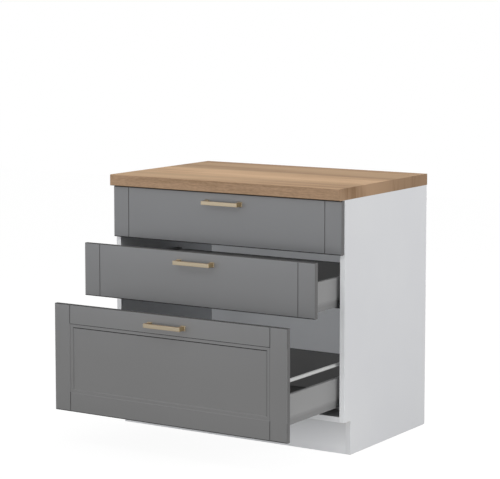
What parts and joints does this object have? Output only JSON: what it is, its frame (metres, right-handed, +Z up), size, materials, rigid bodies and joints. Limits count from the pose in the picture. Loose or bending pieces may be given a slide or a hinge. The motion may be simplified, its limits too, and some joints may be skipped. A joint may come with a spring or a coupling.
{
  "type": "base cabinet with drawers",
  "caption": "Floor-standing kitchen base unit: white body, oak-look worktop and grey framed fronts on steel-sided pull-out drawers with bar handles.",
  "frame": {"origin": "on the floor at mid width, in the middle of the plinth board's thickness", "axes": "+X to the right of someone facing the fronts, +Y to the wall, +Z up"},
  "size_m": [0.9, 0.9425, 0.87],
  "materials": {
    "white_laminated_board": "white melamine-faced chipboard, satin",
    "white_back_sheet": "white lacquered hardboard",
    "oak_worktop": "oak-look laminate, satin, staves along X",
    "oak_end_band": "oak-look edge band, satin",
    "grey_foil_front": "grey foil on milled fibreboard, matt",
    "graphite_board": "graphite melamine-faced chipboard",
    "grey_coated_steel": "grey powder coat",
    "zinc_plated_steel": "zinc plated, satin",
    "brushed_pale_brass": "brushed, pale gold",
    "white_coated_tube": "white powder coat",
    "dark_plastic": "moulded, fine texture"
  },
  "bodies": {
    "root": {"side_panel_left": "white_laminated_board", "side_panel_right": "white_laminated_board", "bottom_panel": "white_laminated_board", "front_stretcher": "white_laminated_board", "rear_stretcher": "white_laminated_board", "plinth_board": "white_laminated_board", "back_panel": "white_back_sheet", "worktop": "oak_worktop", "worktop_end_band_left": "oak_end_band", "worktop_end_band_right": "oak_end_band", "upper_runner_cabinet_left": "zinc_plated_steel", "upper_runner_cabinet_right": "zinc_plated_steel", "middle_runner_cabinet_left": "zinc_plated_steel", "middle_runner_cabinet_right": "zinc_plated_steel", "lower_runner_cabinet_left": "zinc_plated_steel", "lower_runner_cabinet_right": "zinc_plated_steel"},
    "upper_drawer": {"upper_front": "grey_foil_front", "upper_handle": "brushed_pale_brass", "upper_handle_screw_left": "zinc_plated_steel", "upper_side_left": "grey_coated_steel", "upper_front_bracket_left": "zinc_plated_steel", "upper_handle_screw_right": "zinc_plated_steel", "upper_side_right": "grey_coated_steel", "upper_front_bracket_right": "zinc_plated_steel", "upper_bottom": "graphite_board", "upper_back": "graphite_board"},
    "upper_middle_member_left": {"upper_runner_middle_left": "zinc_plated_steel"},
    "upper_middle_member_right": {"upper_runner_middle_right": "zinc_plated_steel"},
    "middle_drawer": {"middle_front": "grey_foil_front", "middle_handle": "brushed_pale_brass", "middle_handle_screw_left": "zinc_plated_steel", "middle_side_left": "grey_coated_steel", "middle_front_bracket_left": "zinc_plated_steel", "middle_handle_screw_right": "zinc_plated_steel", "middle_side_right": "grey_coated_steel", "middle_front_bracket_right": "zinc_plated_steel", "middle_bottom": "graphite_board", "middle_back": "graphite_board"},
    "middle_middle_member_left": {"middle_runner_middle_left": "zinc_plated_steel"},
    "middle_middle_member_right": {"middle_runner_middle_right": "zinc_plated_steel"},
    "lower_drawer": {"lower_front": "grey_foil_front", "lower_handle": "brushed_pale_brass", "lower_handle_screw_left": "zinc_plated_steel", "lower_side_left": "grey_coated_steel", "lower_front_bracket_left": "zinc_plated_steel", "lower_handle_screw_right": "zinc_plated_steel", "lower_side_right": "grey_coated_steel", "lower_front_bracket_right": "zinc_plated_steel", "lower_bottom": "graphite_board", "lower_back": "graphite_board", "lower_rail_left": "white_coated_tube", "lower_rail_socket_left": "dark_plastic", "lower_rail_post_left": "dark_plastic", "lower_rail_right": "white_coated_tube", "lower_rail_socket_right": "dark_plastic", "lower_rail_post_right": "dark_plastic"},
    "lower_middle_member_left": {"lower_runner_middle_left": "zinc_plated_steel"},
    "lower_middle_member_right": {"lower_runner_middle_right": "zinc_plated_steel"}
  },
  "joints": [
    {"name": "upper_drawer_slide", "type": "slide", "parent": "root", "child": "upper_drawer", "axis": [0, -1, 0], "range_m": [0, 0.48]},
    {"name": "upper_middle_member_left_slide", "type": "slide", "parent": "root", "child": "upper_middle_member_left", "axis": [0, -1, 0], "range_m": [0, 0.24]},
    {"name": "upper_middle_member_right_slide", "type": "slide", "parent": "root", "child": "upper_middle_member_right", "axis": [0, -1, 0], "range_m": [0, 0.24]},
    {"name": "middle_drawer_slide", "type": "slide", "parent": "root", "child": "middle_drawer", "axis": [0, -1, 0], "range_m": [-0.165, 0.315]},
    {"name": "middle_middle_member_left_slide", "type": "slide", "parent": "root", "child": "middle_middle_member_left", "axis": [0, -1, 0], "range_m": [-0.0825, 0.1575]},
    {"name": "middle_middle_member_right_slide", "type": "slide", "parent": "root", "child": "middle_middle_member_right", "axis": [0, -1, 0], "range_m": [-0.0825, 0.1575]},
    {"name": "lower_drawer_slide", "type": "slide", "parent": "root", "child": "lower_drawer", "axis": [0, -1, 0], "range_m": [-0.33, 0.15]},
    {"name": "lower_middle_member_left_slide", "type": "slide", "parent": "root", "child": "lower_middle_member_left", "axis": [0, -1, 0], "range_m": [-0.165, 0.075]},
    {"name": "lower_middle_member_right_slide", "type": "slide", "parent": "root", "child": "lower_middle_member_right", "axis": [0, -1, 0], "range_m": [-0.165, 0.075]}
  ],
  "couplings": [
    {"joint": "upper_middle_member_left_slide", "follows": "upper_drawer_slide", "ratio": 0.5},
    {"joint": "upper_middle_member_right_slide", "follows": "upper_drawer_slide", "ratio": 0.5},
    {"joint": "middle_middle_member_left_slide", "follows": "middle_drawer_slide", "ratio": 0.5},
    {"joint": "middle_middle_member_right_slide", "follows": "middle_drawer_slide", "ratio": 0.5},
    {"joint": "lower_middle_member_left_slide", "follows": "lower_drawer_slide", "ratio": 0.5},
    {"joint": "lower_middle_member_right_slide", "follows": "lower_drawer_slide", "ratio": 0.5}
  ]
}
